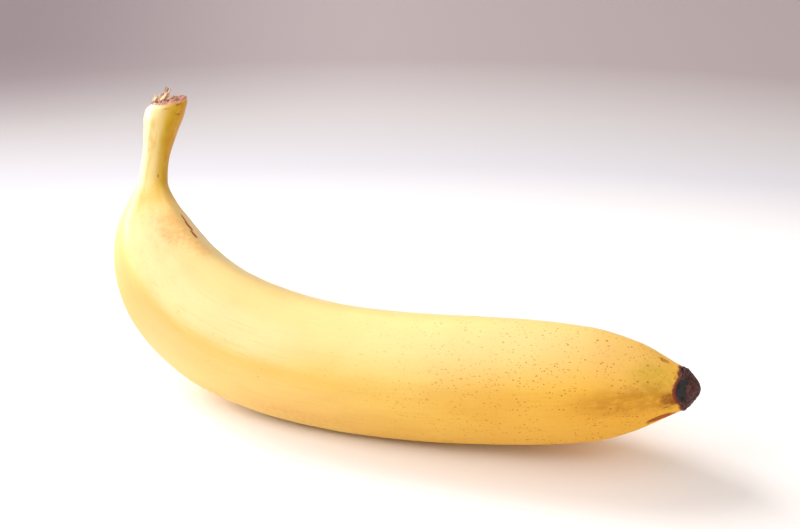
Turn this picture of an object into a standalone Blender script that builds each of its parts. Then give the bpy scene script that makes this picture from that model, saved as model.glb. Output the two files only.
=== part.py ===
"""One whole ripe banana on its outer curve, its stem raised at the left (-X) and leaning back (+Y).

Metres, +Z up. The origin is at the bottom centre of the fruit's box. The fruit grew as one piece, so it is
one closed solid: a five-sided peel round a bent middle line, with a torn stem end and a dried blossom end.
"""
import math
from collections import namedtuple

import bmesh
import bpy
from mathutils import Matrix, Vector

MM = 0.001

# The middle line lies in one plane, which leans back from upright by this angle
LEAN = math.radians(36)

# Heading of the middle line in that plane, in degrees from +X, at distances in mm from the torn end
HEADINGS = (
    (0, -95),
    (24, -86),
    (40, -73),
    (52, -58),
    (68, -38),
    (92, -16),
    (120, -3),
    (150, 4.5),
    (180, 7),
    (235, 7),
)

# Radius of the fruit in mm at distances in mm from the torn end
RADII = (
    (0, 5.7),  # rim of the torn end
    (2, 6.4),
    (5, 6.4),
    (10, 5.6),
    (20, 4.4),  # waist of the stem
    (27, 4.8),
    (34, 7.8),
    (42, 12.2),
    (52, 15.7),
    (66, 18.3),
    (90, 20.0),
    (160, 20.0),
    (188, 19.4),
    (208, 17.6),
    (222, 13.6),
    (235, 7.2),  # edge of the dried cap
)
PEEL_LENGTH = RADII[-1][0]
CAP_LENGTH = 6.8

# The five ridges: how far they rise over the facets, as a share of the radius, along the fruit
RIDGE_COUNT = 5
RIDGE_RISE = ((0, 0.03), (24, 0.05), (45, 0.04), (110, 0.035), (190, 0.035), (225, 0.05), (235, 0.03))

# Mesh density: sides round the fruit, and ring spacing in mm up to each distance
SIDES = 40
MERGE_DISTANCE = 0.001 * MM
RING_STEPS = ((6, 1.5), (70, 3.0), (200, 5.0), (PEEL_LENGTH, 3.0))

# Torn end: how far its face tips toward the front and toward the outside of the bend, how much of the stem
# in mm the tilt is spread over, the relief of the face, and its rings as shares of the radius
TEAR_TILT_FRONT = math.tan(math.radians(26))
TEAR_TILT_OUTSIDE = math.tan(math.radians(16))
TEAR_SPREAD = 14.0
TEAR_RELIEF = 1.2 * MM
TEAR_RINGS = (0.0, 0.2, 0.45, 0.7, 0.9)

# Dried cap: its relief, and its rings as shares of its length with their shares of the radius
CAP_RELIEF = 0.35 * MM
CAP_RINGS = ((0.1, 0.97), (0.3, 0.87), (0.48, 0.74), (0.64, 0.56), (0.8, 0.39), (0.94, 0.2), (1.0, 0.0))

# Depth of the flat spot that the fruit rests on
FLAT_DEPTH = 0.5 * MM

# Torn fibres that stand on the end face: angle round the stem, distance from its middle as a share of the
# radius, height in mm, and lean in degrees toward the inside of the bend
FIBRES = (
    (150, 0.50, 4.2, 22),
    (118, 0.45, 3.8, 26),
    (190, 0.42, 4.6, 18),
    (85, 0.35, 2.8, 30),
    (168, 0.82, 2.6, 14),
    (222, 0.50, 3.6, 20),
    (130, 0.85, 2.2, 12),
)
FIBRE_SIDES = 5
FIBRE_RADIUS = 0.75 * MM
FIBRE_TIP_RADIUS = 0.25 * MM
FIBRE_SINK = 1.5 * MM

# Edges that turn more than this stay crisp, such as those of the fibres and of the flat spot
SHARP_ANGLE = math.radians(50)

# Parts of the skin, which are also the places of their materials on the object
PEEL, TEAR, CAP = 0, 1, 2
PEEL_COLOUR = (0.92, 0.60, 0.13, 1.0)
TEAR_COLOUR = (0.75, 0.50, 0.33, 1.0)
CAP_COLOUR = (0.07, 0.03, 0.02, 1.0)

# One ring of the skin: its distance in mm along the middle line, its share of the peel's radius there, how
# far it is pushed on along the fruit, and the part it belongs to
Stop = namedtuple("Stop", "place width ahead part")


def clear_scene():
    for item in list(bpy.data.objects):
        bpy.data.objects.remove(item, do_unlink=True)


def make_material(name, colour, roughness):
    material = bpy.data.materials.new(name)
    material.use_nodes = True
    shader = material.node_tree.nodes["Principled BSDF"]
    shader.inputs["Base Color"].default_value = colour
    shader.inputs["Roughness"].default_value = roughness
    shader.inputs["Metallic"].default_value = 0.0
    return material


def smooth(table, place):
    """Value of a table of (place, value) pairs at a place, on a smooth curve that never overshoots them."""
    if place <= table[0][0]:
        return table[0][1]
    if place >= table[-1][0]:
        return table[-1][1]
    slopes = [(b[1] - a[1]) / (b[0] - a[0]) for a, b in zip(table, table[1:])]
    tangents = [slopes[0]]
    for before, after in zip(slopes, slopes[1:]):
        tangents.append(0.0 if before * after <= 0 else 2 * before * after / (before + after))
    tangents.append(slopes[-1])
    index = max(i for i, row in enumerate(table[:-1]) if row[0] <= place)
    start, end = table[index], table[index + 1]
    span = end[0] - start[0]
    t = (place - start[0]) / span
    rise = end[1] - start[1]
    pull_start = tangents[index] * span - rise
    pull_end = rise - tangents[index + 1] * span
    return start[1] + rise * t + t * (1 - t) * ((1 - t) * pull_start + t * pull_end)


def peel_places():
    """Distances in mm from the torn end at which the peel has a ring."""
    places = [0.0]
    for end, step in RING_STEPS:
        start = places[-1]
        count = round((end - start) / step)
        places += [start + (end - start) * (i + 1) / count for i in range(count)]
    return places


def skin_stops():
    """The rings of the skin, in order from the middle of the torn face to the tip of the dried cap."""
    tear = [Stop(0.0, share, 0.0, TEAR) for share in TEAR_RINGS]
    peel = [Stop(place, 1.0, 0.0, PEEL) for place in peel_places()]
    cap = [Stop(PEEL_LENGTH, width, share * CAP_LENGTH * MM, CAP) for share, width in CAP_RINGS]
    return tear + peel + cap


def plane_point(u, v):
    """A point of the leaning plane, u along +X and v up the plane."""
    return Vector((u, v * math.sin(LEAN), v * math.cos(LEAN)))


ACROSS = Vector((0, -math.cos(LEAN), math.sin(LEAN)))


class Section:
    """A cross-section of the fruit: its centre, the way on along the fruit and the inside of the bend."""

    def __init__(self, centre, heading):
        self.centre = centre
        self.along = plane_point(math.cos(heading), math.sin(heading))
        self.inward = plane_point(-math.sin(heading), math.cos(heading))

    def point(self, angle, radius, ahead):
        """angle is 0 on the inside of the bend and grows toward the front."""
        spread = math.cos(angle) * self.inward + math.sin(angle) * ACROSS
        return self.centre + spread * radius + self.along * ahead


def bent_sections(stops):
    """A section for each stop, stepped along the middle line."""
    sections = []
    centre = Vector((0, 0, 0))
    before = 0.0
    for stop in stops:
        halfway = math.radians(smooth(HEADINGS, (before + stop.place) / 2))
        centre = centre + plane_point(math.cos(halfway), math.sin(halfway)) * (stop.place - before) * MM
        sections.append(Section(centre, math.radians(smooth(HEADINGS, stop.place))))
        before = stop.place
    return sections


def peel_radius(place, angle):
    ridge = smooth(RIDGE_RISE, place) * math.cos(RIDGE_COUNT * angle)
    return smooth(RADII, place) * (1 - ridge) * MM


def tear_shift(stop, angle, radius):
    """How far a point near the torn end is moved along the stem: the tear is oblique, and ragged inside."""
    weight = max(0.0, 1 - stop.place / TEAR_SPREAD)
    tilt = math.sin(angle) * TEAR_TILT_FRONT - math.cos(angle) * TEAR_TILT_OUTSIDE
    ragged = math.sin(5 * angle + 6 * stop.width) * math.cos(3 * angle - 9 * stop.width)
    return tilt * radius * weight + ragged * TEAR_RELIEF * stop.width * (1 - stop.width)


def cap_lump(stop, angle):
    """Uneven bulges of the dried cap, none at its edge or its tip."""
    share = stop.ahead / (CAP_LENGTH * MM)
    bulge = math.sin(2 * angle + 5 * share) + 0.6 * math.sin(5 * angle - 7 * share)
    return bulge * CAP_RELIEF * math.sin(math.pi * share)


def skin_point(section, stop, angle):
    radius = peel_radius(stop.place, angle) * stop.width
    ahead = stop.ahead + tear_shift(stop, angle, radius)
    return section.point(angle, radius + cap_lump(stop, angle), ahead)


def straight_tube(ring_count):
    """An open tube along Z, with a ring of unit radius at each whole number from 0."""
    bm = bmesh.new()
    bmesh.ops.create_circle(bm, segments=SIDES, radius=1.0)
    bmesh.ops.spin(
        bm,
        geom=bm.edges[:],
        cent=(0, 0, 0),
        axis=(0, 0, 1),
        dvec=(0, 0, 1),
        angle=0.0,
        steps=ring_count - 1,
    )
    return bm


def build_skin(stops, sections):
    """The straight tube, bent and swelled to the fruit, with both ends drawn together to a point."""
    bm = straight_tube(len(stops))
    for face in bm.faces:
        first = min(round(vert.co.z) for vert in face.verts)
        face.material_index = stops[first].part or stops[first + 1].part
    for vert in bm.verts:
        index = round(vert.co.z)
        vert.co = skin_point(sections[index], stops[index], math.atan2(vert.co.y, vert.co.x))
    bmesh.ops.remove_doubles(bm, verts=bm.verts[:], dist=MERGE_DISTANCE)
    bmesh.ops.recalc_face_normals(bm, faces=bm.faces[:])
    return bm


def build_fibre(stem_end, degrees, share, height, lean):
    """A thin tapered peg, sunk into the torn face it stands on."""
    bm = bmesh.new()
    root = skin_point(stem_end, Stop(0.0, share, 0.0, TEAR), math.radians(degrees))
    lean = math.radians(lean)
    up = stem_end.inward * math.sin(lean) - stem_end.along * math.cos(lean)
    length = height * MM + FIBRE_SINK
    turn = up.to_track_quat("Z", "Y").to_matrix().to_4x4()
    bmesh.ops.create_cone(
        bm,
        cap_ends=True,
        segments=FIBRE_SIDES,
        radius1=FIBRE_RADIUS,
        radius2=FIBRE_TIP_RADIUS,
        depth=length,
        matrix=Matrix.Translation(root + up * (length / 2 - FIBRE_SINK)) @ turn,
    )
    return bm


def make_object(name, bm, collection):
    mesh = bpy.data.meshes.new(name)
    bm.to_mesh(mesh)
    bm.free()
    item = bpy.data.objects.new(name, mesh)
    collection.objects.link(item)
    return item


def apply_modifiers(item):
    """Keep the shape that the modifiers give and drop them."""
    graph = bpy.context.evaluated_depsgraph_get()
    mesh = bpy.data.meshes.new_from_object(item.evaluated_get(graph))
    item.modifiers.clear()
    item.data = mesh


def join_fibres(banana, stem_end):
    fibres = bpy.data.collections.new("fibres")
    bpy.context.scene.collection.children.link(fibres)
    pegs = [make_object("fibre", build_fibre(stem_end, *values), fibres) for values in FIBRES]
    union = banana.modifiers.new("join fibres", "BOOLEAN")
    union.operation = "UNION"
    union.operand_type = "COLLECTION"
    union.collection = fibres
    apply_modifiers(banana)
    for peg in pegs:
        bpy.data.objects.remove(peg, do_unlink=True)
    bpy.data.collections.remove(fibres)


def cut_flat_spot(mesh):
    bm = bmesh.new()
    bm.from_mesh(mesh)
    bottom = min(vert.co.z for vert in bm.verts)
    cut = bmesh.ops.bisect_plane(
        bm,
        geom=bm.verts[:] + bm.edges[:] + bm.faces[:],
        plane_co=(0, 0, bottom + FLAT_DEPTH),
        plane_no=(0, 0, -1),
        clear_outer=True,
    )
    rim = [item for item in cut["geom_cut"] if isinstance(item, bmesh.types.BMEdge)]
    bmesh.ops.holes_fill(bm, edges=rim)
    bm.to_mesh(mesh)
    bm.free()


def put_origin_at_bottom_centre(mesh):
    corners = [vert.co for vert in mesh.vertices]
    low = Vector([min(corner[axis] for corner in corners) for axis in range(3)])
    high = Vector([max(corner[axis] for corner in corners) for axis in range(3)])
    middle = (low + high) / 2
    mesh.transform(Matrix.Translation((-middle.x, -middle.y, -low.z)))


def main():
    clear_scene()
    stops = skin_stops()
    sections = bent_sections(stops)
    banana = make_object("banana", build_skin(stops, sections), bpy.context.scene.collection)
    banana.data.materials.append(make_material("peel", PEEL_COLOUR, 0.45))
    banana.data.materials.append(make_material("torn_end", TEAR_COLOUR, 0.85))
    banana.data.materials.append(make_material("dried_cap", CAP_COLOUR, 0.8))
    join_fibres(banana, sections[0])
    cut_flat_spot(banana.data)
    put_origin_at_bottom_centre(banana.data)
    banana.data.shade_smooth()
    banana.data.set_sharp_from_angle(angle=SHARP_ANGLE)


main()
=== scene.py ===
# %% [markdown]
# A ripe banana, from its torn stem to the dried end of its flower.
# The banana is a tube of peel round a bent middle line, so it is made the way a pipe is bent: a straight tube
# first, then every point of it is carried to its place along the bend.
# A sculpted ball or a bevelled curve would give the bend too, but not the five ridges, the thin neck and the
# swelling body at places that can be named. Sizes along the fruit are in millimetres from the torn end.

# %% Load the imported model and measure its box
import math
import random
from collections import namedtuple

import bmesh
import bpy
import numpy as np
from mathutils import Matrix, Vector, noise


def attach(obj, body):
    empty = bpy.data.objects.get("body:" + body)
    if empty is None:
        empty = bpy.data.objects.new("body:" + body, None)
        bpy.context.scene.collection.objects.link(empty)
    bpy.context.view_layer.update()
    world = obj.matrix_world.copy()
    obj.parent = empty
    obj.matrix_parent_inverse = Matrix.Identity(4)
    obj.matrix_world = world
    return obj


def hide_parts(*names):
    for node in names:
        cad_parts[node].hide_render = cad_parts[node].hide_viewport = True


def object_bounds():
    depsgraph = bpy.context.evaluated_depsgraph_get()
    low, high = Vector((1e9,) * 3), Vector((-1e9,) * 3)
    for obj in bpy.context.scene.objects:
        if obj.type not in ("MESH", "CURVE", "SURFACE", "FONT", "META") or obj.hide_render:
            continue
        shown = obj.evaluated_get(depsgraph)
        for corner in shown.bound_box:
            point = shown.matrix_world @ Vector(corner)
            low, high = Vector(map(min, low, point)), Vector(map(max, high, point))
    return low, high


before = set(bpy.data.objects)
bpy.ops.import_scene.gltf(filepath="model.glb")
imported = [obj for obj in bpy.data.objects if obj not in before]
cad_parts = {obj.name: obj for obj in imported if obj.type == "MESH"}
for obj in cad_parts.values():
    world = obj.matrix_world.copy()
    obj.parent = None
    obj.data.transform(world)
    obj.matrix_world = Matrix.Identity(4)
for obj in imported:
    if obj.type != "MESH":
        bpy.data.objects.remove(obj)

MM = 0.001
cad_low, cad_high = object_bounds()
centre_of_fruit = (cad_low + cad_high) / 2
print("box of the solid in mm:", [round(side / MM, 1) for side in cad_high - cad_low])

# %% [markdown]
# The bend comes first, because everything else is placed along it.
# A real banana bends in one plane. Lying on its outer curve, this one leans back with its stem raised.
# The bend is a short table of headings, and a smooth curve through the table gives every value between its
# rows. That curve must not overshoot, or the thin neck would get a waist that nobody asked for, so its slope
# at each row is kept between the slopes on both sides.

# %% A smooth curve through a table
def smooth(table, place):
    """Value of a table of (place, value) pairs at a place, on a smooth curve that never overshoots them."""
    if place <= table[0][0]:
        return table[0][1]
    if place >= table[-1][0]:
        return table[-1][1]
    slopes = [(b[1] - a[1]) / (b[0] - a[0]) for a, b in zip(table, table[1:])]
    tangents = [slopes[0]]
    for before, after in zip(slopes, slopes[1:]):
        tangents.append(0.0 if before * after <= 0 else 2 * before * after / (before + after))
    tangents.append(slopes[-1])
    index = max(i for i, row in enumerate(table[:-1]) if row[0] <= place)
    start, end = table[index], table[index + 1]
    span = end[0] - start[0]
    t = (place - start[0]) / span
    rise = end[1] - start[1]
    pull_start = tangents[index] * span - rise
    pull_end = rise - tangents[index + 1] * span
    return start[1] + rise * t + t * (1 - t) * ((1 - t) * pull_start + t * pull_end)


def ease(value, low, high):
    """0 at low, 1 at high, and smooth between them."""
    t = min(1.0, max(0.0, (value - low) / (high - low)))
    return t * t * (3 - 2 * t)


print("halfway from 0 to 1, ease gives", ease(0.5, 0, 1))

# %% The leaning plane of the bend
LEAN = math.radians(36)
TORN_END = Vector((-89.614, 29.754, 81.432)) * MM  # where the middle line starts
ACROSS = Vector((0, -math.cos(LEAN), math.sin(LEAN)))
HEADINGS = (  # place in mm from the torn end, and heading in degrees above +X
    (0, -95),
    (24, -86),
    (40, -73),
    (52, -58),
    (68, -38),
    (92, -16),
    (120, -3),
    (150, 4.5),
    (180, 7),
    (235, 7),
)


def plane_point(u, v):
    """A point of the leaning plane, u along +X and v up the plane."""
    return Vector((u, v * math.sin(LEAN), v * math.cos(LEAN)))


print("the plane leans back by", round(math.degrees(LEAN)), "degrees")

# %% [markdown]
# Next comes the girth. The radius is one more table, and the five ridges are a wave round the fruit.
# A plain cosine gives five soft swellings. Adding a little of its second and third harmonics draws each
# swelling together into a ridge and flattens the facets between, as on the real peel.
# A cross-section holds all that is the same round one ring, so that it is worked out once and not for each
# of the ring's points.

# %% Girth, ridges and cross-sections
RADII = (  # place and mean radius in mm
    (0, 5.7),
    (2, 6.4),
    (5, 6.4),
    (10, 5.6),
    (20, 4.4),
    (27, 4.8),
    (34, 7.8),
    (42, 12.2),
    (52, 15.7),
    (66, 18.3),
    (90, 20.0),
    (160, 20.0),
    (188, 19.4),
    (208, 17.6),
    (222, 13.6),
    (235, 7.2),
    (239, 5.2),
)
PEEL_LENGTH = 235
RIDGES = 5
RIDGE_RISE = (  # place in mm, and the ridges' height as a share of the radius
    (0, 0.02),
    (14, 0.03),
    (24, 0.04),
    (45, 0.05),
    (110, 0.035),
    (190, 0.035),
    (225, 0.055),
    (235, 0.03),
)
FLUTES = 23
FLUTE_RISE = ((0, 0.0), (6, 0.006), (20, 0.01), (38, 0.0))  # place and height in mm
DROOP = 0.8  # how far the blossom end hangs outside the bend, in mm
DROOP_START = 224
DROOP_END = 236


def ridge_wave(angle):
    """1.26 on a ridge, -0.86 in the middle of a facet."""
    turn = RIDGES * angle
    return -math.cos(turn) + 0.2 * math.cos(2 * turn) - 0.06 * math.cos(3 * turn)


class Section:
    """A cross-section of the fruit: its place, centre and heading, and what is the same all round it."""

    def __init__(self, place, centre):
        heading = math.radians(smooth(HEADINGS, place))
        self.place = place
        self.along = plane_point(math.cos(heading), math.sin(heading))
        self.inward = plane_point(-math.sin(heading), math.cos(heading))
        self.centre = centre - self.inward * DROOP * ease(place, DROOP_START, DROOP_END) * MM
        self.radius = smooth(RADII, place)
        self.rise = smooth(RIDGE_RISE, place)
        self.flute = smooth(FLUTE_RISE, place)

    def peel_radius(self, angle):
        """Radius of the peel in mm, with its ridges but without its unevenness."""
        return self.radius * (1 + self.rise * ridge_wave(angle))

    def point(self, angle, radius, ahead):
        """angle is 0 on the inside of the bend and grows toward the front."""
        spread = math.cos(angle) * self.inward + math.sin(angle) * ACROSS
        return self.centre + (spread * radius + self.along * ahead) * MM


def bent_sections(places):
    """A section at each of the rising places, stepped along the middle line."""
    sections = []
    centre = TORN_END.copy()
    before = 0.0
    for place in places:
        halfway = math.radians(smooth(HEADINGS, (before + place) / 2))
        centre = centre + plane_point(math.cos(halfway), math.sin(halfway)) * (place - before) * MM
        sections.append(Section(place, centre))
        before = place
    return sections


coarse = bent_sections([5.0 * step for step in range(48)])
tip_section = coarse[-1]
print("the body is", round(coarse[24].peel_radius(0) + coarse[24].peel_radius(math.pi), 1), "mm thick")

# %% [markdown]
# No real facet is even. Slow noise lifts and lowers the surface by a few tenths of a millimetre. That is
# hardly seen in the outline, but it breaks up the highlights, and it is what makes the skin look grown.
# Noise in the material would be cheaper, but a bump that is 20 mm wide belongs in the mesh, where the light
# of any room finds it. Fine flutes run down the stem, where the fibres lie close under the skin.

# %% The uneven surface
BROAD_LIFT = 0.26
BROAD_WAVE = 26
CLOSE_LIFT = 0.08
CLOSE_WAVE = 9
DENTS = (  # place and angle of the middle, radius and depth in mm
    (134, 88, 7.0, 0.16),
    (96, 110, 9.0, 0.16),
    (172, 52, 8.0, 0.12),
    (60, 64, 8.0, 0.14),
    (150, 236, 9.0, 0.30),
    (88, 300, 8.0, 0.30),
)


def turn_between(angle, degrees):
    """The way round from one angle to another, in radians and never more than half a turn."""
    return abs((angle - math.radians(degrees) + math.pi) % (2 * math.pi) - math.pi)


def unevenness(section, angle):
    """How far the skin is lifted at a point, in mm."""
    across, front = math.cos(angle), math.sin(angle)
    broad = noise.noise(Vector((1.6 * across, 1.6 * front, section.place / BROAD_WAVE)))
    close = noise.noise(Vector((4.5 * across, 4.5 * front, section.place / CLOSE_WAVE + 40)))
    lift = BROAD_LIFT * broad + CLOSE_LIFT * close
    lift += section.flute * math.sin(FLUTES * angle + 3 * broad)
    for place, degrees, radius, depth in DENTS:
        if abs(section.place - place) < radius:
            away = math.hypot(section.place - place, section.radius * turn_between(angle, degrees))
            lift -= depth * ease(radius - away, 0, radius)
    return lift


print("dents:", len(DENTS))

# %% [markdown]
# The two ends decide where the skin stops, so their outlines are settled before the skin is made.
# The stem was torn off its bunch, which leaves an oblique face of broken fibres. Points near it are moved
# along the stem, so that the face tips toward the front and toward the outer curve.
# At the other end the skin meets what is left of the flower, along an edge that reaches further over the
# peel at the front than above and below.

# %% The tilt and roughness of the torn face
TEAR_TILT_FRONT = math.tan(math.radians(26))
TEAR_TILT_OUTSIDE = math.tan(math.radians(16))
TEAR_SPREAD = 14.0  # mm along the stem over which the tilt fades
TEAR_RELIEF = 1.2
CHIP_ANGLE = 168  # a piece is broken out of the rim here
CHIP_WIDTH = math.radians(44)
CHIP_DEPTH = 1.3
RIM_FADE = 1.0


def tear_shift(place, width, angle, radius):
    """How far a point near the torn end is moved along the stem, in mm."""
    weight = max(0.0, 1 - place / TEAR_SPREAD)
    tilt = math.sin(angle) * TEAR_TILT_FRONT - math.cos(angle) * TEAR_TILT_OUTSIDE
    ragged = math.sin(5 * angle + 6 * width) * math.cos(3 * angle - 9 * width)
    chip = CHIP_DEPTH * ease(turn_between(angle, CHIP_ANGLE), CHIP_WIDTH, 0.0) * width ** 3 * weight ** 4
    return tilt * radius * weight + ragged * TEAR_RELIEF * width * (1 - width) + chip


def torn_roughness(width, angle, radius):
    """Fine broken relief of the face and of its rim, in mm."""
    spot = Vector((radius * math.cos(angle), radius * math.sin(angle), 7.0))
    chips = noise.noise(spot * 0.8) + 0.7 * noise.noise(spot * 2.3)
    face = 0.7 * ease(1 - width, 0.0, 0.25)
    return (face + 0.25) * chips + 0.35 * ease(1 - width, 0.0, 0.08)


tilts = [tear_shift(0.0, 1.0, math.radians(degrees), RADII[0][1]) for degrees in (90, 270)]
print("the rim of the torn face in mm, in front and at the back:", [round(tilt, 1) for tilt in tilts])

# %% The edge of the dried cap
CAP_START = 0.7  # mm past the end of the peel
CAP_FRONT = 105
CAP_FRONT_REACH = 1.35
CAP_FRONT_WIDTH = math.radians(48)
CAP_BELOW = 195
CAP_BELOW_LACK = 0.9


def cap_edge(angle):
    """Where the cap's edge lies, in mm past the end of the peel."""
    reach = CAP_FRONT_REACH * ease(turn_between(angle, CAP_FRONT), CAP_FRONT_WIDTH, 0.0)
    lack = CAP_BELOW_LACK * max(0.0, math.cos(turn_between(angle, CAP_BELOW))) ** 2
    ragged = 0.22 * noise.noise(Vector((2.5 * math.cos(angle), 2.5 * math.sin(angle), 3.0)))
    return CAP_START - reach + lack + ragged


cap_edges = [cap_edge(math.radians(degrees)) for degrees in (CAP_FRONT, CAP_BELOW)]
print("the cap's edge in mm, in front and below:", [round(edge, 1) for edge in cap_edges])

# %% [markdown]
# The skin is a list of rings. They start in the middle of the torn face, go out over its rim, run down the
# fruit and end just inside the cap, where they are drawn together. The last few are stretched or held
# back all round, so that the skin ends along the cap's edge.

# %% The rings of the skin
Ring = namedtuple("Ring", "place width ahead part")
PEEL, TORN, HIDDEN = 0, 1, 2
RING_STEPS = ((10, 0.4), (60, 0.6), (205, 0.8), (PEEL_LENGTH, 0.5))  # up to a place, rings this far apart
TORN_RINGS = 26
HIDDEN_WIDTHS = (0.8, 0.4, 0.0)
HIDDEN_AHEAD = 0.2
STRETCHED = 8.0  # mm of peel that are stretched to meet the cap
CAP_LAP = 0.35


def peel_places():
    """Distances in mm from the torn end at which the peel has a ring."""
    places = [0.0]
    for end, step in RING_STEPS:
        start = places[-1]
        count = round((end - start) / step)
        places += [start + (end - start) * (i + 1) / count for i in range(count)]
    return places


def skin_rings():
    """The rings of the skin, from the middle of the torn face to the point under the cap."""
    torn = [Ring(0.0, step / TORN_RINGS, 0.0, TORN) for step in range(TORN_RINGS)]
    peel = [Ring(place, 1.0, 0.0, PEEL) for place in peel_places()]
    hidden = [Ring(PEEL_LENGTH, width, HIDDEN_AHEAD, HIDDEN) for width in HIDDEN_WIDTHS]
    return torn + peel + hidden


def tip_stretch(ring, angle):
    """How far a ring near the cap is moved on, in mm, to end along the cap's edge."""
    weight = ease(ring.place, PEEL_LENGTH - STRETCHED, PEEL_LENGTH)
    return (cap_edge(angle) + CAP_LAP) * weight * ring.width


rings = skin_rings()
print(len(rings), "rings along the skin")

# %% [markdown]
# The tube itself is one circle, spun with an angle of zero: the operator then only repeats the circle along
# a direction and skins the steps. Each point of the tube knows its ring by its height and its angle by its
# x and y, and is carried to its place on the bent fruit.
# Before that is forgotten, the point's place on the straight fruit is kept as an attribute of the mesh.
# Patterns that read it run along the banana as its fibres do, with no seam. Object coordinates can't give
# that on a bent thing, and a UV map would tear the pattern along one line.

# %% Spin a straight tube
MERGE_DISTANCE = 0.001 * MM


def straight_tube(sides, ring_count):
    """An open tube along Z, with a ring of unit radius at each whole number from 0."""
    bm = bmesh.new()
    bmesh.ops.create_circle(bm, segments=sides, radius=1.0)
    bmesh.ops.spin(
        bm,
        geom=bm.edges[:],
        cent=(0, 0, 0),
        axis=(0, 0, 1),
        dvec=(0, 0, 1),
        angle=0.0,
        steps=ring_count - 1,
    )
    return bm


def close_and_face_outward(bm):
    bmesh.ops.remove_doubles(bm, verts=bm.verts[:], dist=MERGE_DISTANCE)
    bmesh.ops.recalc_face_normals(bm, faces=bm.faces[:])


def make_piece(name, bm):
    """Put a finished bmesh into the scene as a smooth object at the origin."""
    mesh = bpy.data.meshes.new(name)
    bm.to_mesh(mesh)
    bm.free()
    mesh.shade_smooth()
    piece = bpy.data.objects.new(name, mesh)
    bpy.context.scene.collection.objects.link(piece)
    print(name, "has", len(mesh.polygons), "faces")
    return piece


# %% Bend the tube into the fruit
SIDES = 176


def skin_point(section, ring, angle):
    """A point of the skin, and its place on the straight fruit in mm."""
    stretch = tip_stretch(ring, angle)
    here = Section(ring.place + stretch, section.centre) if stretch else section
    radius = here.peel_radius(angle) * ring.width
    ahead = ring.ahead + stretch + tear_shift(ring.place, ring.width, angle, radius)
    if ring.place < RIM_FADE:
        ahead -= torn_roughness(ring.width, angle, radius) * (1 - ring.place / RIM_FADE)
    lift = unevenness(section, angle) * ring.width
    point = section.point(angle, radius + lift, ahead)
    point.z = max(point.z, 0.0)
    straight = ring.place + stretch + ahead * (1 - ring.width)
    return point, Vector((radius * math.cos(angle), radius * math.sin(angle), straight))


def build_skin():
    bm = straight_tube(SIDES, len(rings))
    sections = bent_sections([ring.place for ring in rings])
    fruit = bm.verts.layers.float_vector.new("fruit")
    to_cap = bm.verts.layers.float.new("to_cap")
    for face in bm.faces:
        first = min(round(vert.co.z) for vert in face.verts)
        face.material_index = rings[first].part or rings[first + 1].part
    for vert in bm.verts:
        index = round(vert.co.z)
        angle = math.atan2(vert.co.y, vert.co.x)
        vert.co, vert[fruit] = skin_point(sections[index], rings[index], angle)
        vert[to_cap] = PEEL_LENGTH + cap_edge(angle) - vert[fruit].z
    close_and_face_outward(bm)
    return bm


banana = make_piece("banana_peel", build_skin())

# %% [markdown]
# Fibres stand on the torn face where the stem gave way: a few stout ones, and a tuft of thin ones round them.
# Hair curves would be quick, but an exported model drops them, so each fibre is a small cone, cut along its
# length, flattened to a ribbon and bent. The tuft grows on the outer half of the face, where the skin tore
# last, and a seeded draw makes it the same each time.

# %% One torn fibre
STRAND_SIDES = 6
STRAND_CUTS = 5
STRAND_SINK = 1.2  # mm of each fibre that are sunk into the face
STRAND_TAPER = 0.55
STRAND_FLATNESS = 0.4
STRAND_KINK = 0.35


def build_strand(length, thickness, bend, tone):
    """A fibre standing on the origin, bent toward +X. Lengths are in mm."""
    bm = bmesh.new()
    bmesh.ops.create_cone(
        bm,
        cap_ends=True,
        segments=STRAND_SIDES,
        radius1=thickness,
        radius2=STRAND_TAPER * thickness,
        depth=length + STRAND_SINK,
        matrix=Matrix.Translation((0, 0, (length - STRAND_SINK) / 2)),
    )
    upright = [edge for edge in bm.edges if abs(edge.verts[0].co.z - edge.verts[1].co.z) > length / 2]
    bmesh.ops.subdivide_edges(bm, edges=upright, cuts=STRAND_CUTS)
    share_layer = bm.verts.layers.float.new("share")
    tone_layer = bm.verts.layers.float.new("tone")
    for vert in bm.verts:
        share = max(0.0, vert.co.z / length)
        kink = noise.noise(Vector((9 * share, 17 * tone, 31 * tone))) * STRAND_KINK * length * share
        vert.co.y *= STRAND_FLATNESS
        vert.co.x += bend * length * share * share
        vert.co.y += kink
        vert[share_layer] = share
        vert[tone_layer] = tone
    return bm


# %% The tuft of fibres
STOUT_STRANDS = (  # angle round the stem, share of the radius, height in mm, lean inward in degrees
    (150, 0.50, 4.4, 20),
    (118, 0.45, 3.8, 26),
    (190, 0.42, 4.8, 18),
    (85, 0.35, 2.8, 30),
    (168, 0.82, 3.2, 10),
    (222, 0.50, 4.0, 16),
    (130, 0.85, 2.4, 10),
    (172, 0.62, 4.2, 14),
    (146, 0.30, 4.2, 24),
    (205, 0.66, 4.2, 10),
)
STOUT_THICKNESS = 0.68
THIN_STRANDS = 46
THIN_MIDDLE = 172  # degrees round the stem
THIN_SPREAD = 34
stem_end = bent_sections([0.0])[0]
tuft = bmesh.new()
draw = random.Random(11)


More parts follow.
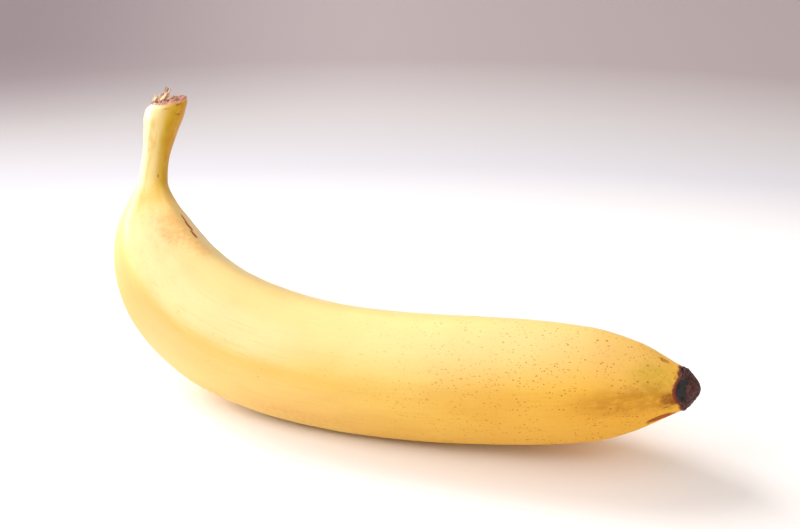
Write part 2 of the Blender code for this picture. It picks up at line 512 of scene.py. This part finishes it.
def plant(degrees, share, height, lean, thickness):
    """Add one fibre to the tuft, rooted in the torn face."""
    angle = math.radians(degrees)
    root = skin_point(stem_end, Ring(0.0, share, 0.0, TORN), angle)[0]
    way = stem_end.inward * math.tan(math.radians(lean)) - stem_end.along
    way += ACROSS * draw.uniform(-0.2, 0.2) + stem_end.inward * draw.uniform(-0.1, 0.1)
    turn = way.normalized().to_track_quat("Z", "Y").to_matrix().to_4x4()
    strand = build_strand(height, thickness, draw.uniform(-0.15, 0.3), draw.random())
    spin = Matrix.Rotation(draw.uniform(0, 2 * math.pi), 4, "Z")
    place = Matrix.Translation(root) @ turn @ spin @ Matrix.Scale(MM, 4)
    bmesh.ops.transform(strand, matrix=place, verts=strand.verts[:])
    scratch = bpy.data.meshes.new("scratch")
    strand.to_mesh(scratch)
    strand.free()
    tuft.from_mesh(scratch)
    bpy.data.meshes.remove(scratch)


for degrees, share, height, lean in STOUT_STRANDS:
    plant(degrees, share, height, lean, STOUT_THICKNESS)
for _ in range(THIN_STRANDS):
    degrees = draw.gauss(THIN_MIDDLE, THIN_SPREAD)
    share = math.sqrt(draw.uniform(0.05, 0.8))
    height = draw.uniform(0.6, 2.2)
    lean = draw.uniform(-6, 28)
    plant(degrees, share, height, lean, draw.uniform(0.16, 0.32))
fibres = make_piece("torn_fibres", tuft)

# %% [markdown]
# The dried cap is its own closed shell that laps over the peel like a scab. It starts inside the peel, comes
# out through it at the edge, and runs over the dome to the tip. Its profile is one more table.
# Folds and crumples are noise, and one sunken scar, where the flower broke off, faces the front.

# %% The outline of the dried cap
CAP_LENGTH = 6.8
CAP_PROFILE = (  # share of the cap's length, and radius as a share of the peel's at its end
    (0, 0.97),
    (0.12, 0.94),
    (0.34, 0.86),
    (0.48, 0.75),
    (0.6, 0.62),
    (0.72, 0.49),
    (0.85, 0.38),
    (1, 0.26),
)
CAP_ROOT = 0.6  # how far inside the peel the shell starts, in mm
CAP_LIP = 0.16
CAP_SIDES = 128
CAP_RINGS = 72


def cap_radius(ahead, angle):
    """Radius of the smooth cap, in mm, at a distance in mm past the end of the peel."""
    if ahead < 0:
        return Section(PEEL_LENGTH + ahead, tip_section.centre).peel_radius(angle) * CAP_PROFILE[0][1]
    share = min(1.0, ahead / CAP_LENGTH)
    return tip_section.peel_radius(angle) * smooth(CAP_PROFILE, share) * math.sqrt(1 - share ** 12)


print("the cap is about", round(cap_radius(0, 0) * 2, 1), "mm across")

# %% The lumps of the dried cap
SCAR_SHARE = 0.27  # of the cap's length
SCAR_ANGLE = 98
SCAR_LENGTH = 0.2
SCAR_WIDTH = math.radians(44)
SCAR_DEPTH = 0.6
SCAR_RIM = 1.3  # where its raised rim lies, with the scar's middle at 0 and its edge at 1
RIM_HEIGHT = 0.12
CREASES = ((2.4, 1.0), (5.5, 0.6), (12.0, 0.3))  # scale and weight


def scar_distance(share, angle):
    """0 in the middle of the scar and 1 at its edge."""
    ragged = 0.3 * noise.noise(Vector((4 * math.cos(angle), 4 * math.sin(angle), 7 * share)))
    along = (share - SCAR_SHARE) / SCAR_LENGTH
    round_it = turn_between(angle, SCAR_ANGLE) / SCAR_WIDTH
    return math.hypot(along, round_it) + ragged


def cap_lumps(share, angle):
    """How far the cap is lifted at a share of its length, in mm."""
    spot = Vector((math.cos(angle), math.sin(angle), 2.2 * share))
    folds = math.cos(5 * angle + 3 * noise.noise(spot * 1.3))
    creases = sum(weight * abs(noise.noise(spot * scale)) for scale, weight in CREASES)
    away = scar_distance(share, angle)
    scar = SCAR_DEPTH * ease(away, SCAR_RIM, 0.2) - RIM_HEIGHT * ease(abs(away - SCAR_RIM), 0.4, 0.0)
    return ease(share, 0.0, 0.12) * (0.16 * folds * (1 - share) + 0.75 * (0.4 - creases) - scar)


def cap_point(row, angle):
    """A point of the cap: distance past the peel's end, radius, lift and share of the length."""
    edge = cap_edge(angle)
    if row < 2:
        ahead = edge * row
        radius = (cap_radius(edge, angle) - CAP_ROOT) * row
        return ahead, radius, 0.0, 0.0
    share = (row - 2) / (CAP_RINGS - 3)
    lumps = cap_lumps(share, angle) * math.sqrt(max(0.0, 1 - share ** 4))
    ahead = edge + share * (CAP_LENGTH - edge)
    lip = CAP_LIP * ease(share, -0.01, 0.02) * math.sqrt(1 - share) if share else 0.0
    radius = cap_radius(ahead, angle) * math.sqrt(1 - share ** 16) + lumps + lip
    return ahead + 0.4 * lumps * share, radius, lumps, share


def build_cap():
    bm = straight_tube(CAP_SIDES, CAP_RINGS)
    layers = bm.verts.layers
    fruit = layers.float_vector.new("fruit")
    lump, part, scar = (layers.float.new(name) for name in ("lump", "share", "scar"))
    for vert in bm.verts:
        angle = math.atan2(vert.co.y, vert.co.x)
        ahead, radius, vert[lump], vert[part] = cap_point(round(vert.co.z), angle)
        vert[scar] = ease(scar_distance(vert[part], angle), SCAR_RIM, 0.7)
        vert[fruit] = Vector((radius * math.cos(angle), radius * math.sin(angle), PEEL_LENGTH + ahead))
        vert.co = tip_section.point(angle, radius, ahead)
    close_and_face_outward(bm)
    return bm


cap = make_piece("dried_cap", build_cap())

# %% [markdown]
# Marks of growing and handling sit at their own places: green that hasn't ripened, bruises, scuffed ridges.
# Painting an image would tie the banana to one picture. Instead each mark is a soft oval at a place and an
# angle, and its strength is kept on the mesh as an attribute. The materials then break its edge up with
# noise, so that no oval shows.

# %% Where the marks are
Mark = namedtuple("Mark", "place angle length width strength")  # mm, degrees, mm, mm, 0 to 1
GREEN = (
    Mark(9, 38, 15, 3.2, 0.95),
    Mark(22, 18, 14, 3.6, 0.8),
    Mark(15, 95, 14, 2.5, 0.2),
    Mark(16, 230, 18, 4.0, 0.5),
    Mark(24, 300, 16, 4.0, 0.5),
    Mark(230, 84, 12, 7.5, 0.6),
    Mark(233, 92, 6, 5.0, 0.5),
    Mark(227, 112, 9, 3.0, 0.3),
    Mark(233.4, 148, 1.6, 1.3, 0.9),
    Mark(228, 230, 10, 8.0, 0.6),
    Mark(229, 330, 8, 7.0, 0.5),
)
BRUISED = (
    Mark(49, 46, 13, 9.0, 0.5),
    Mark(60, 34, 14, 6.0, 0.40),
    Mark(16, 98, 4, 2.5, 0.35),
    Mark(120, 160, 22, 7.0, 0.30),
    Mark(90, 250, 15, 8.0, 0.4),
    Mark(180, 290, 18, 6.0, 0.4),
)
BROWNED = (
    Mark(233.0, 119, 4.5, 3.0, 0.65),
    Mark(234.6, 128, 2.6, 2.2, 0.8),
    Mark(232.0, 141, 1.8, 0.5, 0.9),
    Mark(233.2, 176, 2.6, 1.2, 0.6),
    Mark(231, 40, 3.0, 1.2, 0.6),
    Mark(234.6, 68, 0.8, 2.0, 0.5),
    Mark(129.5, 82, 0.8, 0.7, 0.5),
    Mark(139, 80, 0.8, 0.7, 0.4),
    Mark(92, 122, 0.6, 0.5, 0.5),
    Mark(97.5, 122, 0.6, 0.5, 0.5),
    Mark(108, 118, 0.6, 0.5, 0.5),
    Mark(26, 50, 1.4, 0.5, 0.6),
    Mark(4.5, 26, 0.45, 1.9, 0.8),
    Mark(1.9, 66, 0.6, 2.6, 0.5),
    Mark(0.9, 30, 0.7, 2.0, 0.6),
)
SCABBED = (
    Mark(43.5, 20, 3.6, 1.1, 0.8),
    Mark(48.0, 23, 4.6, 1.5, 1.0),
    Mark(53.5, 27, 4.2, 1.3, 0.9),
    Mark(229.6, 168, 5.4, 1.5, 1.0),
    Mark(232.6, 176, 3.0, 1.2, 0.8),
    Mark(62, 324, 12, 0.9, 0.8),
    Mark(140, 252, 20, 0.8, 0.7),
    Mark(201, 181, 14, 0.8, 0.6),
)
# Painted shade: deep orange on the inner side of the stem and low on the front of the blossom end.
ORANGE_SHADE = (
    Mark(3.4, 18, 4.6, 4.4, 0.9),
    Mark(10, 16, 14, 5.0, 0.8),
    Mark(16, 352, 24, 6.0, 0.75),
    Mark(222, 118, 22, 7.0, 0.75),
    Mark(231, 121, 8, 5.0, 0.9),
)
print("marks:", sum(len(marks) for marks in (GREEN, BRUISED, BROWNED, SCABBED, ORANGE_SHADE)))

# %% Paint the marks onto the peel
def paint(piece, name, marks):
    """Keep on each vertex how strongly it is covered by any of the marks."""
    fruit = np.zeros(len(piece.data.vertices) * 3, np.float32)
    piece.data.attributes["fruit"].data.foreach_get("vector", fruit)
    fruit = fruit.reshape(-1, 3)
    radius = np.hypot(fruit[:, 0], fruit[:, 1])
    angle = np.arctan2(fruit[:, 1], fruit[:, 0])
    covered = np.zeros(len(fruit), np.float32)
    for mark in marks:
        turn = (angle - math.radians(mark.angle) + math.pi) % (2 * math.pi) - math.pi
        away = np.hypot((fruit[:, 2] - mark.place) / mark.length, radius * turn / mark.width)
        soft = np.clip(1.5 - 1.5 * away, 0, 1)
        covered = np.maximum(covered, mark.strength * soft * soft * (3 - 2 * soft))
    layer = piece.data.attributes.new(name, "FLOAT", "POINT")
    layer.data.foreach_set("value", covered.astype(np.float32))
    print(name, "covers", round(100 * float((covered > 0.05).mean()), 1), "% of the points")


paint(banana, "green", GREEN)
paint(banana, "bruised", BRUISED)
paint(banana, "browned", BROWNED)
paint(banana, "scabbed", SCABBED)
paint(banana, "orange", ORANGE_SHADE)

# %% [markdown]
# Every finish is built from a few kinds of node, so a small helper adds one node in one short line. It gives
# back the node's output, which is then fed to the next. The fruit's colours are written as they look on
# screen, and linear turns each into what a shader wants.

# %% A short way to write a node tree
def linear(red, green, blue):
    """A colour given as it looks on screen, 0 to 255, as a shader wants it."""
    def channel(value):
        value = value / 255
        return value / 12.92 if value <= 0.04045 else ((value + 0.055) / 1.055) ** 2.4

    return (channel(red), channel(green), channel(blue), 1.0)


class Finish:
    """A material and the nodes that feed its shader."""

    def __init__(self, name, **constants):
        self.material = bpy.data.materials.new(name)
        self.material.use_nodes = True
        self.nodes = self.material.node_tree.nodes
        self.links = self.material.node_tree.links
        self.shader = self.nodes["Principled BSDF"]
        for socket, value in constants.items():
            self.shader.inputs[socket.replace("_", " ")].default_value = value

    def feed(self, socket, value):
        if isinstance(value, bpy.types.NodeSocket):
            self.links.new(value, socket)
        else:
            socket.default_value = value

    def add(self, kind, output, inputs, **settings):
        node = self.nodes.new("ShaderNode" + kind)
        for name, value in settings.items():
            setattr(node, name, value)
        for socket, value in inputs.items():
            self.feed(node.inputs[socket], value)
        return node.outputs[output]

    def attribute(self, name, output="Fac"):
        return self.add("Attribute", output, {}, attribute_name=name)

    def math(self, operation, *values):
        return self.add("Math", 0, dict(enumerate(values)), operation=operation)

    def times(self, first, *others):
        for other in others:
            first = self.math("MULTIPLY", first, other)
        return first

    def most(self, first, *others):
        for other in others:
            first = self.math("MAXIMUM", first, other)
        return first

    def parts(self, vector):
        """The X, Y and Z of a vector."""
        node = self.nodes.new("ShaderNodeSeparateXYZ")
        self.feed(node.inputs[0], vector)
        return list(node.outputs)

    def scaled(self, vector, x, y, z):
        return self.add("VectorMath", 0, {0: vector, 1: (x, y, z)}, operation="MULTIPLY")

    def noise(self, vector, scale, detail=2.0, roughness=0.5):
        values = {"Vector": vector, "Scale": scale, "Detail": detail, "Roughness": roughness}
        return self.add("TexNoise", "Fac", values)

    def between(self, value, low, high):
        """0 where the value is at low, 1 where it is at high, and smooth between."""
        return self.add("MapRange", 0, {0: value, 1: low, 2: high}, interpolation_type="SMOOTHSTEP")

    def mix(self, factor, below, above):
        return self.add("Mix", 2, {0: factor, 6: below, 7: above}, data_type="RGBA")

    def ramp(self, value, stops):
        """A colour for each value from 0 to 1, through stops of (value, colour)."""
        node = self.nodes.new("ShaderNodeValToRGB")
        self.feed(node.inputs[0], value)
        for _ in stops[2:]:
            node.color_ramp.elements.new(0.5)
        for element, (at, colour) in zip(node.color_ramp.elements, stops):
            element.position = at
            element.color = colour
        return node.outputs[0]

    def bump(self, height, depth, strength):
        return self.add("Bump", 0, {"Height": height, "Distance": depth, "Strength": strength})

    def paint(self, socket, value):
        self.feed(self.shader.inputs[socket], value)


print("finish helper ready")

# %% [markdown]
# The peel is waxy and a little translucent. Its yellow wanders slowly between pale and gold, and fine streaks
# run with the fibres. The stem is paler, the blossom end deeper, and green is left at both, where a banana
# ripens last. Some of the colour is painted light: a paler stripe on the flanks is a painted highlight, the
# outer side of the bulge is a deeper orange as painted shade, and the stem is painted paler outside and
# darker inside as painted highlight and shade. The fruit attribute says how far along the fruit, how far
# inward and how far to the front a point lies, all in millimetres, so each zone of colour is a range of these
# three.
# Wax makes the skin paler and duller in one. It is the shader's coat: rough, so that the highlight on it is
# broad. Its paler colour is partly wax and partly painted highlight: it lies most on the inside of the bend
# and on the outer side of the stem and bulge, where the lights fall, and is thinner near the blossom end and
# at the back.
# Small brown specks come from cells of a Voronoi pattern in three dimensions: each cell gets a ball of its
# own size, many cells get none, and the skin cuts through the balls as a knife through a cake with raisins.
# There are more of them toward the blossom end.
# Each layer has a function of its own, and the finish lays one over the other.

# %% The yellow of the peel
GOLD = (linear(240, 190, 84), linear(246, 202, 95))
NEAR_STEM = linear(250, 210, 132)
FLANK_HIGHLIGHT = linear(252, 232, 172)
BULGE_SHADE = linear(240, 168, 92)
STEM_SHADE_AND_HIGHLIGHT = (linear(216, 174, 52), linear(248, 224, 152))
BLOSSOM_END = linear(241, 178, 50)
STREAK = linear(228, 163, 47)
GRAIN = linear(228, 161, 47)


def ripe_yellow(finish, fruit, inward, place):
    """The ground colour: gold, paler in slow clouds, with a painted highlight on the flanks, painted shade on
    the outer bulge, a stem painted paler outside and darker inside, and streaks along the fibres.
    """
    clouds = finish.noise(finish.scaled(fruit, 1, 1, 0.5), 0.07, 3.0)
    streaks = finish.noise(finish.scaled(fruit, 1, 1, 0.05), 1.1, 3.0, 0.6)
    grain = finish.noise(fruit, 2.2, 2.0)
    gold = finish.mix(finish.between(clouds, 0.35, 0.65), *GOLD)
    gold = finish.mix(finish.times(finish.between(place, 125.0, 65.0), 0.35), gold, NEAR_STEM)
    # Painted highlight: a paler stripe along both flanks of the neck and body.
    highlight_band = finish.times(finish.between(inward, -8.0, -1.0), finish.between(inward, 11.0, 4.0), 0.7)
    highlight_band = finish.times(finish.between(place, 32.0, 48.0), finish.between(place, 130.0, 100.0), highlight_band)
    gold = finish.mix(highlight_band, gold, FLANK_HIGHLIGHT)
    # Painted shade: the outer side of the bulge is painted a deeper orange.
    bulge = finish.times(finish.between(place, 36.0, 50.0), finish.between(place, 95.0, 60.0), 0.85)
    gold = finish.mix(finish.times(finish.between(inward, -2.0, -10.0), bulge), gold, BULGE_SHADE)
    # Painted shade and highlight: the stem is painted darker on the inside of the bend and paler on its outer
    # side.
    stem = finish.mix(finish.between(inward, 4.0, 0.0), *STEM_SHADE_AND_HIGHLIGHT)
    gold = finish.mix(finish.between(place, 37.0, 24.0), gold, stem)
    gold = finish.mix(finish.times(finish.between(place, 140.0, 232.0), 0.8), gold, BLOSSOM_END)
    gold = finish.mix(finish.times(finish.between(streaks, 0.5, 0.75), 0.3), gold, STREAK)
    return finish.mix(finish.times(finish.between(grain, 0.45, 0.8), 0.2), gold, GRAIN)


# %% The wax and painted highlight on the peel
WAX_HIGHLIGHT = linear(246, 219, 147)


def painted_wax_highlight(finish, inward, front, place):
    """How much wax and painted highlight: most on the inside of the bend and the outer side of the stem, some
    on the outer belly, less at the back and least at the blossom end.
    """
    inner = finish.math("SUBTRACT", inward, finish.times(finish.between(place, 150.0, 220.0), 6.0))
    upper = finish.times(finish.between(inner, -13.0, 8.0), finish.between(place, 28.0, 50.0))
    outer = finish.times(finish.between(inward, 5.0, -3.0), finish.between(place, 70.0, -10.0), 0.8)
    belly = finish.times(finish.between(place, 55.0, 80.0), finish.between(place, 165.0, 100.0), 0.5)
    belly = finish.times(finish.between(inward, -2.0, -12.0), belly)
    thinner_at_tip = finish.math("ADD", finish.times(finish.between(place, 250.0, 185.0), 0.85), 0.15)
    thinner_at_back = finish.math("ADD", finish.times(finish.between(front, -16.0, 0.0), 0.5), 0.5)
    return finish.times(finish.most(upper, outer, belly), thinner_at_tip, thinner_at_back)


# %% Blotches, bruises and painted shade
UNRIPE_GREEN = linear(207, 170, 27)
DEEP_ORANGE_SHADE = linear(187, 118, 9)
BRUISE = linear(228, 147, 45)


def broken(finish, fruit, name, scale, low, high):
    """A painted mark with its edge broken up by noise."""
    amount = finish.attribute(name)
    ragged = finish.math("ADD", amount, finish.times(finish.noise(fruit, scale, 5.0, 0.7), 1.2))
    return finish.times(finish.between(ragged, low, high), finish.between(amount, 0.0, 0.12))


def blotched(finish, fruit, colour):
    """A colour with its soft marks over it: green, orange as painted shade, and bruised."""
    blotches = finish.noise(finish.scaled(fruit, 1, 1, 0.4), 0.5, 4.0, 0.6)
    green = finish.times(finish.attribute("green"), finish.between(blotches, 0.2, 0.62))
    colour = finish.mix(green, colour, UNRIPE_GREEN)
    # Painted shade in deep orange.
    orange = finish.times(finish.attribute("orange"), finish.between(blotches, 0.1, 0.65), 0.8)
    colour = finish.mix(orange, colour, DEEP_ORANGE_SHADE)
    bruised = broken(finish, fruit, "bruised", 0.6, 0.6, 1.6)
    return finish.mix(finish.times(bruised, 0.8), colour, BRUISE)


# %% Specks
SPECK = linear(178, 100, 6)


def specks(finish, fruit, cell, smallest, largest, rarity):
    """Balls of a Voronoi pattern. cell is their spacing in mm, rarity the share of cells left empty."""
    dots = finish.nodes.new("ShaderNodeTexVoronoi")
    finish.feed(dots.inputs["Vector"], finish.scaled(fruit, 1, 1, 0.8))
    dots.inputs["Scale"].default_value = 1 / cell
    pick = finish.add("SeparateColor", "Red", {0: dots.outputs["Color"]})
    size = finish.add("MapRange", 0, {0: pick, 1: rarity, 2: 1.0, 3: smallest / cell, 4: largest / cell})
    inside = finish.math("SUBTRACT", size, dots.outputs["Distance"])
    shown = finish.math("GREATER_THAN", pick, rarity)
    return finish.times(finish.between(inside, -0.05, 0.16), shown)


def speckled(finish, fruit, place, colour):
    """A colour with specks over it: a few everywhere, and crowds of them toward the blossom end."""
    few = finish.times(specks(finish, fruit, 2.3, 0.12, 0.34, 0.7), 0.4)
    crowds = finish.between(finish.noise(fruit, 0.13, 3.0), 0.34, 0.56)
    fine = finish.times(specks(finish, fruit, 0.8, 0.1, 0.3, 0.25), crowds, 0.75)
    coarse = finish.times(specks(finish, fruit, 1.7, 0.12, 0.45, 0.6), 0.75)
    large = finish.times(specks(finish, fruit, 5.0, 0.3, 0.7, 0.6), 0.5)
    many = finish.times(finish.most(fine, coarse, large), finish.between(place, 110.0, 205.0))
    return finish.mix(finish.most(few, many), colour, SPECK)


# %% The seams at both ends of the peel
CAP_SEAM = linear(129, 49, 20)
CUT_EDGE = linear(230, 167, 132)


def seamed(finish, fruit, place, colour):
    """A colour that turns brown where it meets the dried cap, and pink at the rim of the torn face."""
    fray = finish.times(finish.noise(fruit, 0.9, 3.0), 1.6)
    near_cap = finish.math("SUBTRACT", finish.attribute("to_cap"), fray)
    colour = finish.mix(finish.between(near_cap, 0.1, -0.7), colour, CAP_SEAM)
    near_tear = finish.math("SUBTRACT", place, finish.noise(fruit, 1.5, 3.0))
    return finish.mix(finish.between(near_tear, 0.3, -0.4), colour, CUT_EDGE)


# %% The peel's finish
OLD_BROWN = linear(134, 62, 0)
SCAB = linear(160, 70, 16)


def peel_finish():
    finish = Finish(
        "peel",
        Subsurface_Weight=0.15,
        Subsurface_Scale=0.003,
        Subsurface_Radius=(1.0, 0.45, 0.12),
        Coat_Roughness=0.48,
        Coat_IOR=1.68,
        Specular_IOR_Level=0.2,
    )
    fruit = finish.attribute("fruit", "Vector")
    inward, front, place = finish.parts(fruit)
    browned = broken(finish, fruit, "browned", 1.0, 0.8, 1.4)
    scabbed = broken(finish, fruit, "scabbed", 2.2, 0.75, 1.3)
    bare = finish.math("SUBTRACT", 1.0, finish.most(browned, scabbed))
    # Wax and painted highlight: one mask sets the coat and a paler colour where the lights fall.
    wax_highlight = finish.times(painted_wax_highlight(finish, inward, front, place), bare)
    finish.paint("Coat Weight", wax_highlight)
    colour = ripe_yellow(finish, fruit, inward, place)
    colour = finish.mix(finish.times(wax_highlight, 0.6), colour, WAX_HIGHLIGHT)
    colour = blotched(finish, fruit, colour)
    colour = speckled(finish, fruit, place, colour)
    colour = finish.mix(finish.times(browned, 0.8), colour, OLD_BROWN)
    colour = finish.mix(finish.times(scabbed, 0.9), colour, SCAB)
    finish.paint("Base Color", seamed(finish, fruit, place, colour))
    rough = finish.add("MapRange", 0, {0: finish.noise(fruit, 0.8, 3.0), 1: 0.3, 2: 0.7, 3: 0.44, 4: 0.54})
    finish.paint("Roughness", finish.math("ADD", rough, finish.times(scabbed, 0.25)))
    pores = finish.noise(finish.scaled(fruit, 1, 1, 0.7), 1.6, 4.0, 0.65)
    lines = finish.noise(finish.scaled(fruit, 1, 1, 0.06), 2.6, 2.0)
    height = finish.math("ADD", pores, finish.times(lines, 0.5))
    finish.paint("Normal", finish.bump(height, 0.0002, 0.3))
    return finish.material


banana.data.materials.append(peel_finish())
print("nodes of the peel's finish:", len(bpy.data.materials["peel"].node_tree.nodes))

# %% [markdown]
# Torn flesh dries to a dull pink and tan, with paler fibres, and dark patches laid by noise are painted shade
# for its hollows. It has no wax, so it is rough all over. The hidden end under the cap only needs to be as
# dark as the cap.

# %% Finishes of the torn end and its fibres
FLESH = (linear(178, 120, 100), linear(207, 158, 129))
FLESH_SHADE = linear(98, 51, 38)
FLESH_CREST = linear(230, 192, 156)
CREAM = (linear(232, 207, 170), linear(203, 152, 116))
CREAM_TIP = linear(156, 103, 74)
CREAM_ROOT_SHADE = linear(116, 65, 45)


def torn_finish():
    finish = Finish("torn_end", Roughness=0.85)
    fruit = finish.attribute("fruit", "Vector")
    patches = finish.noise(fruit, 0.45, 3.0)
    chips = finish.noise(fruit, 2.0, 4.0, 0.7)
    flesh = finish.mix(finish.between(patches, 0.4, 0.6), *FLESH)
    # Painted shade: dark patches for the hollows of the broken face.
    flesh = finish.mix(finish.between(chips, 0.52, 0.72), flesh, FLESH_SHADE)
    flesh = finish.mix(finish.between(chips, 0.44, 0.30), flesh, FLESH_CREST)
    finish.paint("Base Color", flesh)
    finish.paint("Normal", finish.bump(chips, 0.0004, 0.6))
    return finish.material


def fibre_finish():
    finish = Finish("torn_fibre", Roughness=0.8)
    share = finish.attribute("share")
    tone = finish.attribute("tone")
    cream = finish.mix(finish.between(tone, 0.55, 0.95), *CREAM)
    tipped = finish.mix(finish.times(finish.between(share, 0.5, 1.0), tone), cream, CREAM_TIP)
    # Painted shade: each fibre is darker at its root, where it meets the torn face.
    finish.paint("Base Color", finish.mix(finish.between(share, 0.3, -0.1), tipped, CREAM_ROOT_SHADE))
    return finish.material


# %% [markdown]
# What is left of the flower dries to a brown so deep that its relief is hard to see. It is darker where it
# lies lower and a little paler on its crests, the scar is charred nearly black, and a reddish rim marks where
# it meets the peel.

# %% The dried cap's finish
CAP_BROWN = (linear(48, 18, 13), linear(90, 38, 29))
CAP_CREST = linear(134, 70, 56)
CAP_SCAR = linear(28, 26, 22)
CAP_RIM = linear(92, 32, 19)


def cap_finish(name):
    finish = Finish(name, Roughness=0.6)
    fruit = finish.attribute("fruit", "Vector")
    share = finish.attribute("share")
    flakes = finish.noise(fruit, 1.1, 4.0, 0.65)
    raised = finish.math("ADD", finish.attribute("lump"), finish.times(flakes, 0.8))
    brown = finish.mix(finish.between(raised, 0.1, 0.8), *CAP_BROWN)
    crests = finish.mix(finish.between(flakes, 0.55, 0.75), brown, CAP_CREST)
    scar = finish.math("ADD", finish.attribute("scar"), finish.times(flakes, 0.5))
    charred = finish.mix(finish.between(scar, 0.5, 1.4), crests, CAP_SCAR)
    rim = finish.mix(finish.between(share, 0.08, 0.02), charred, CAP_RIM)
    finish.paint("Base Color", rim)
    finish.paint("Normal", finish.bump(flakes, 0.0005, 0.7))
    return finish.material


banana.data.materials.append(torn_finish())
banana.data.materials.append(cap_finish("hidden_end"))
fibres.data.materials.append(fibre_finish())
cap.data.materials.append(cap_finish("dried_cap"))
print("finishes:", [material.name for material in bpy.data.materials])

# %% [markdown]
# On the real banana these three pieces are one skin, so all of them stand for the one plain solid, which is
# hidden from here on. They ride on the fruit's only body: wherever it goes, they go with it. Joined into
# one mesh they would do the same, but apart each keeps a finish of its own and can be changed alone.

# %% Ride on the fruit
for piece in (banana, fibres, cap):
    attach(piece, "root")
    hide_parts("banana")
print("riding on the fruit:", [piece.name for piece in (banana, fibres, cap)])

# %% [markdown]
# The fruit lies on pale paper that curves up and falls out of the light far behind it. Only the flat part is
# needed: that falling light is painted shade in the paper's colour, which darkens with the distance and in
# the far left corner, so every camera sees it at the same place.

# %% Camera directions and the paper
CAMERA_AZIMUTH = math.radians(17)
CAMERA_ELEVATION = math.radians(30)
CAMERA_DISTANCE = 0.600
RIGHT = Vector((math.cos(CAMERA_AZIMUTH), math.sin(CAMERA_AZIMUTH), 0))
AWAY = Vector((-math.sin(CAMERA_AZIMUTH), math.cos(CAMERA_AZIMUTH), 0))
UP = Vector((0, 0, 1))
PAPER_REACH = 0.5  # m that the ramp of colours spans
# Painted shade: the paper darkens with the distance behind the fruit, bowing toward it at both sides, and
# more in the far left corner.
PAPER_SHADE_STOPS = (  # distance behind the fruit's middle in m, and the paper's colour there, already linear
    (0.10, (0.92, 0.87, 0.82, 1)),
    (0.17, (0.58, 0.56, 0.57, 1)),
    (0.22, (0.50, 0.46, 0.44, 1)),
    (0.28, (0.36, 0.30, 0.29, 1)),
    (0.34, (0.36, 0.30, 0.29, 1)),
)
PAPER_BOW = 0.7  # the darkening bows toward the fruit at both sides, in m per square metre
PAPER_CORNER_SHADE = (0.11, 0.08, 0.09, 1)
PAPER_CORNER_SHARE = 0.68
PAPER_HALF_SIDE = 1.5


def paper_finish():
    finish = Finish("paper", Roughness=0.9, Specular_IOR_Level=0.1)
    place = finish.add("TexCoord", "Object", {})
    away = finish.add("VectorMath", "Value", {0: place, 1: AWAY[:]}, operation="DOT_PRODUCT")
    wide = finish.add("VectorMath", "Value", {0: place, 1: RIGHT[:]}, operation="DOT_PRODUCT")
    bowed = finish.math("ADD", away, finish.times(wide, wide, PAPER_BOW))
    # Painted shade, darker with the distance and in the far left corner.
    stops = [(distance / PAPER_REACH, colour) for distance, colour in PAPER_SHADE_STOPS]
    colour = finish.ramp(finish.math("DIVIDE", bowed, PAPER_REACH), stops)
    corner = finish.times(finish.between(wide, 0.0, -0.2), finish.between(away, 0.15, 0.3))
    corner = finish.times(corner, PAPER_CORNER_SHARE)
    finish.paint("Base Color", finish.mix(corner, colour, PAPER_CORNER_SHADE))
    return finish.material


paper = bmesh.new()
bmesh.ops.create_grid(paper, x_segments=1, y_segments=1, size=PAPER_HALF_SIDE)
floor = make_piece("floor", paper)
floor.data.materials.append(paper_finish())

# %% [markdown]
# The camera looks down at the fruit, a little from its blossom end. A long lens keeps the near end from
# looming. The fruit is placed low in the picture by shifting the lens and not by tilting the camera, because
# a tilt would change how much of the top is seen.

# %% The camera
lens = bpy.data.cameras.new("camera")
lens.lens = 85
lens.sensor_width = 36
lens.shift_x = 0.0002
lens.shift_y = 0.0254
lens.clip_start = 0.01
lens.clip_end = 20
camera = bpy.data.objects.new("camera", lens)
bpy.context.scene.collection.objects.link(camera)
toward_camera = UP * math.sin(CAMERA_ELEVATION) - AWAY * math.cos(CAMERA_ELEVATION)
camera.location = centre_of_fruit + toward_camera * CAMERA_DISTANCE
camera.rotation_euler = toward_camera.to_track_quat("Z", "Y").to_euler()
bpy.context.scene.camera = camera
print("the camera stands at", [round(along, 3) for along in camera.location])

# %% [markdown]
# Two large soft lights stand to the left and behind. The high one gives the broad highlight along the fruit.
# The low one rakes over the paper, and the long soft shadow to the right is its work: one light can't be
# high enough for the first and low enough for the second. Three weak ones fill the stem, the top and the
# front, and the rest is a pale, warm studio all round.

# %% Lights
STUDIO_WHITE = (0.97, 1.0, 1.08)
SOFT_LIGHTS = (  # name, way there as right, away and up, distance and size in m, power in W
    ("key", (-0.54, 0.46, 0.70), 1.7, 0.64, 13.3),
    ("low", (-0.82, 0.46, 0.34), 1.2, 0.9, 18),
    ("left", (-0.80, -0.15, 0.60), 1.2, 0.6, 4.4),
    ("top", (0.10, -0.30, 0.95), 1.5, 1.2, 3),
    ("front", (0.50, -0.60, 0.60), 1.1, 0.7, 4.2),
)
STUDIO_WARM = (1.0, 0.87, 0.75, 1)
STUDIO_STRENGTH = 0.36


def soft_light(name, way, distance, size, power):
    """A square area light that stands some way from the fruit and faces it."""
    data = bpy.data.lights.new(name, "AREA")
    data.shape = "SQUARE"
    data.size = size
    data.energy = power
    data.color = STUDIO_WHITE
    item = bpy.data.objects.new(name, data)
    bpy.context.scene.collection.objects.link(item)
    toward_light = (RIGHT * way[0] + AWAY * way[1] + UP * way[2]).normalized()
    item.location = centre_of_fruit + toward_light * distance
    item.rotation_euler = toward_light.to_track_quat("Z", "Y").to_euler()


for light in SOFT_LIGHTS:
    soft_light(*light)
world = bpy.data.worlds.new("studio")
world.use_nodes = True
background = world.node_tree.nodes["Background"]
background.inputs["Color"].default_value = STUDIO_WARM
background.inputs["Strength"].default_value = STUDIO_STRENGTH
bpy.context.scene.world = world
bpy.context.scene.view_settings.view_transform = "Standard"
print("soft lights:", len(SOFT_LIGHTS))
